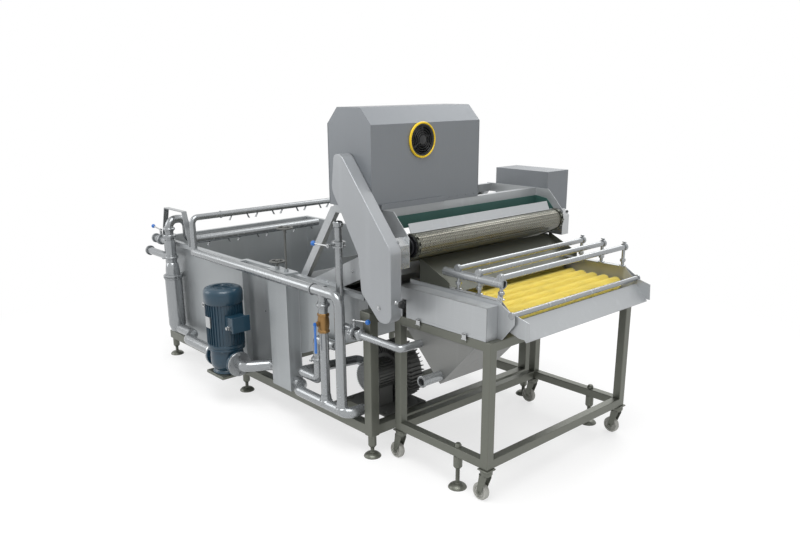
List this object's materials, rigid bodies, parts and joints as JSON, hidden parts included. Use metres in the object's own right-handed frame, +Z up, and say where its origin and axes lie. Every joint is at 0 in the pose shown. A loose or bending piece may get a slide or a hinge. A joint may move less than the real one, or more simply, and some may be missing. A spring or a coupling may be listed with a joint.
{
  "type": "fruit washing machine",
  "caption": "Bubble-tank fruit washer: open tank with pump and blower, inclined flight belt under a fan housing, and a castered brush-roller discharge table.",
  "frame": {"origin": "centre of the footprint at floor level", "axes": "+X along the machine from the wash tank to the discharge chute, +Y from the pump side to the control cabinet side, +Z up"},
  "size_m": [2.822, 1.501, 1.5663],
  "materials": {
    "stainless": "brushed stainless steel",
    "frame_steel": "satin stainless tube",
    "bright_steel": "bright machined steel",
    "belt_mesh": "woven stainless belt",
    "hood_grey": "satin grey sheet",
    "cast_grey": "grey casting",
    "pump_blue": "semi-gloss paint",
    "brass": "dull brass",
    "lever_blue": "satin plastic",
    "brush_yellow": "nylon bristle",
    "warning_yellow": "gloss paint",
    "black_plastic": "satin black",
    "black_steel": "black oxide",
    "teal_rubber": "matt rubber",
    "wheel_grey": "grey tread"
  },
  "bodies": {
    "machine": {"tank_shell": "stainless", "main_frame": "frame_steel", "bubble_pipes": "stainless", "elevator_frame": "stainless", "mesh_belt": "belt_mesh", "exit_skirt": "teal_rubber", "transition_slide": "stainless", "chain_guard": "stainless", "gearmotor": "pump_blue", "hood_shell": "hood_grey", "fan_ring": "warning_yellow", "control_cabinet": "stainless", "cart_frame": "stainless", "brush_side_plates": "stainless", "discharge_chute": "stainless", "water_hopper": "stainless", "spray_manifold": "stainless", "supply_pipe": "stainless", "rinse_pipe": "stainless", "rear_riser": "stainless", "suction_pipe": "stainless", "pump_volute": "pump_blue", "pump_motor": "pump_blue", "blower_casing": "cast_grey", "blower_motor": "cast_grey", "ball_valve": "brass", "head_bearing_near": "bright_steel", "head_bearing_far": "bright_steel", "table_chain": "frame_steel"},
    "head_drum": {"head_drum": "black_steel"},
    "tail_drum": {"tail_drum": "frame_steel"},
    "brush_roller_1": {"brush_roller_1": "brush_yellow"},
    "brush_roller_2": {"brush_roller_2": "brush_yellow"},
    "brush_roller_3": {"brush_roller_3": "brush_yellow"},
    "brush_roller_4": {"brush_roller_4": "brush_yellow"},
    "brush_roller_5": {"brush_roller_5": "brush_yellow"},
    "brush_roller_6": {"brush_roller_6": "brush_yellow"},
    "brush_roller_7": {"brush_roller_7": "brush_yellow"},
    "brush_roller_8": {"brush_roller_8": "brush_yellow"},
    "hood_fan": {"hood_fan": "black_plastic"},
    "pump_rotor": {"pump_rotor": "frame_steel"},
    "caster_fork_1": {"caster_fork_1": "frame_steel"},
    "caster_fork_2": {"caster_fork_2": "frame_steel"},
    "caster_fork_3": {"caster_fork_3": "frame_steel"},
    "caster_fork_4": {"caster_fork_4": "frame_steel"},
    "caster_wheel_1": {"caster_wheel_1": "wheel_grey"},
    "caster_wheel_2": {"caster_wheel_2": "wheel_grey"},
    "caster_wheel_3": {"caster_wheel_3": "wheel_grey"},
    "caster_wheel_4": {"caster_wheel_4": "wheel_grey"},
    "valve_lever_1": {"valve_lever_1": "lever_blue"},
    "valve_lever_2": {"valve_lever_2": "lever_blue"},
    "valve_lever_3": {"valve_lever_3": "lever_blue"},
    "ball_valve_lever": {"ball_valve_lever": "lever_blue"},
    "handwheel_1": {"handwheel_1": "cast_grey"},
    "handwheel_2": {"handwheel_2": "cast_grey"},
    "guard_knob": {"guard_knob": "black_plastic"},
    "cabinet_door": {"cabinet_door": "stainless"},
    "drive_cover": {"drive_cover": "stainless"},
    "cover_latch_1": {"cover_latch_1": "bright_steel"},
    "cover_latch_2": {"cover_latch_2": "bright_steel"}
  },
  "joints": [
    {"name": "head_drum_spin", "type": "hinge", "parent": "machine", "child": "head_drum", "pos_m": [0.839, 0.04435, 1.012], "axis": [0, 1, 0], "continuous": true},
    {"name": "tail_drum_spin", "type": "hinge", "parent": "machine", "child": "tail_drum", "pos_m": [-0.611, 0.04435, 0.34], "axis": [0, 1, 0], "continuous": true},
    {"name": "brush_roller_1_spin", "type": "hinge", "parent": "machine", "child": "brush_roller_1", "pos_m": [1.232, 0.05435, 0.763], "axis": [0, 1, 0], "continuous": true},
    {"name": "brush_roller_2_spin", "type": "hinge", "parent": "machine", "child": "brush_roller_2", "pos_m": [1.17, 0.05435, 0.763], "axis": [0, 1, 0], "continuous": true},
    {"name": "brush_roller_3_spin", "type": "hinge", "parent": "machine", "child": "brush_roller_3", "pos_m": [1.108, 0.05435, 0.763], "axis": [0, 1, 0], "continuous": true},
    {"name": "brush_roller_4_spin", "type": "hinge", "parent": "machine", "child": "brush_roller_4", "pos_m": [1.046, 0.05435, 0.763], "axis": [0, 1, 0], "continuous": true},
    {"name": "brush_roller_5_spin", "type": "hinge", "parent": "machine", "child": "brush_roller_5", "pos_m": [0.984, 0.05435, 0.763], "axis": [0, 1, 0], "continuous": true},
    {"name": "brush_roller_6_spin", "type": "hinge", "parent": "machine", "child": "brush_roller_6", "pos_m": [0.922, 0.05435, 0.763], "axis": [0, 1, 0], "continuous": true},
    {"name": "brush_roller_7_spin", "type": "hinge", "parent": "machine", "child": "brush_roller_7", "pos_m": [0.86, 0.05435, 0.763], "axis": [0, 1, 0], "continuous": true},
    {"name": "brush_roller_8_spin", "type": "hinge", "parent": "machine", "child": "brush_roller_8", "pos_m": [0.798, 0.05435, 0.763], "axis": [0, 1, 0], "continuous": true},
    {"name": "hood_fan_spin", "type": "hinge", "parent": "machine", "child": "hood_fan", "pos_m": [0.674, -0.24115, 1.4263], "axis": [1, 0, 0], "continuous": true},
    {"name": "pump_rotor_spin", "type": "hinge", "parent": "machine", "child": "pump_rotor", "pos_m": [-0.401, -0.64545, 0.3], "axis": [0, 0, 1], "continuous": true},
    {"name": "caster_1_swivel", "type": "hinge", "parent": "machine", "child": "caster_fork_1", "pos_m": [1.269, -0.42565, 0.137], "axis": [0, 0, 1], "continuous": true},
    {"name": "caster_1_spin", "type": "hinge", "parent": "caster_fork_1", "child": "caster_wheel_1", "pos_m": [1.243, -0.42565, 0.038], "axis": [0, 1, 0], "continuous": true},
    {"name": "caster_2_swivel", "type": "hinge", "parent": "machine", "child": "caster_fork_2", "pos_m": [1.269, 0.53435, 0.137], "axis": [0, 0, 1], "continuous": true},
    {"name": "caster_2_spin", "type": "hinge", "parent": "caster_fork_2", "child": "caster_wheel_2", "pos_m": [1.243, 0.53435, 0.038], "axis": [0, 1, 0], "continuous": true},
    {"name": "caster_3_swivel", "type": "hinge", "parent": "machine", "child": "caster_fork_3", "pos_m": [0.754, -0.42565, 0.137], "axis": [0, 0, 1], "continuous": true},
    {"name": "caster_3_spin", "type": "hinge", "parent": "caster_fork_3", "child": "caster_wheel_3", "pos_m": [0.728, -0.42565, 0.038], "axis": [0, 1, 0], "continuous": true},
    {"name": "caster_4_swivel", "type": "hinge", "parent": "machine", "child": "caster_fork_4", "pos_m": [0.754, 0.53435, 0.137], "axis": [0, 0, 1], "continuous": true},
    {"name": "caster_4_spin", "type": "hinge", "parent": "caster_fork_4", "child": "caster_wheel_4", "pos_m": [0.728, 0.53435, 0.038], "axis": [0, 1, 0], "continuous": true},
    {"name": "valve_lever_1_turn", "type": "hinge", "parent": "machine", "child": "valve_lever_1", "pos_m": [-1.231, -0.57545, 0.824], "axis": [0, 0, 1], "range_deg": [0, 90]},
    {"name": "valve_lever_2_turn", "type": "hinge", "parent": "machine", "child": "valve_lever_2", "pos_m": [0.451, -0.57875, 0.975], "axis": [0, 1, 0], "range_deg": [0, 90]},
    {"name": "valve_lever_3_turn", "type": "hinge", "parent": "machine", "child": "valve_lever_3", "pos_m": [0.588, -0.55475, 0.656], "axis": [0, 0, -1], "range_deg": [0, 90]},
    {"name": "ball_valve_lever_turn", "type": "hinge", "parent": "machine", "child": "ball_valve_lever", "pos_m": [0.399, -0.63245, 0.61], "axis": [0, 1, 0], "range_deg": [0, 90]},
    {"name": "handwheel_1_turn", "type": "hinge", "parent": "machine", "child": "handwheel_1", "pos_m": [0.019, -0.51795, 0.992], "axis": [0, 0, 1], "range_deg": [0, 1080]},
    {"name": "handwheel_2_turn", "type": "hinge", "parent": "machine", "child": "handwheel_2", "pos_m": [-0.061, -0.51795, 0.813], "axis": [0, 0, 1], "range_deg": [0, 1080]},
    {"name": "guard_knob_turn", "type": "hinge", "parent": "machine", "child": "guard_knob", "pos_m": [0.889, -0.55775, 0.795], "axis": [1, 0, 0], "range_deg": [0, 360]},
    {"name": "cabinet_door_open", "type": "hinge", "parent": "machine", "child": "cabinet_door", "pos_m": [0.423, 0.72215, 1.131], "axis": [0, 0, 1], "range_deg": [0, 110]},
    {"name": "drive_cover_lift", "type": "slide", "parent": "machine", "child": "drive_cover", "axis": [0, 0, 1], "range_m": [0, 0.078]},
    {"name": "cover_latch_1_turn", "type": "hinge", "parent": "machine", "child": "cover_latch_1", "pos_m": [0.891, -0.45265, 0.672], "axis": [1, 0, 0], "range_deg": [0, 120]},
    {"name": "cover_latch_2_turn", "type": "hinge", "parent": "machine", "child": "cover_latch_2", "pos_m": [1.155, -0.45265, 0.672], "axis": [1, 0, 0], "range_deg": [0, 120]}
  ],
  "couplings": [
    {"joint": "tail_drum_spin", "follows": "head_drum_spin", "ratio": 1},
    {"joint": "brush_roller_1_spin", "follows": "head_drum_spin", "ratio": 1},
    {"joint": "brush_roller_2_spin", "follows": "head_drum_spin", "ratio": 1},
    {"joint": "brush_roller_3_spin", "follows": "head_drum_spin", "ratio": 1},
    {"joint": "brush_roller_4_spin", "follows": "head_drum_spin", "ratio": 1},
    {"joint": "brush_roller_5_spin", "follows": "head_drum_spin", "ratio": 1},
    {"joint": "brush_roller_6_spin", "follows": "head_drum_spin", "ratio": 1},
    {"joint": "brush_roller_7_spin", "follows": "head_drum_spin", "ratio": 1},
    {"joint": "brush_roller_8_spin", "follows": "head_drum_spin", "ratio": 1}
  ]
}
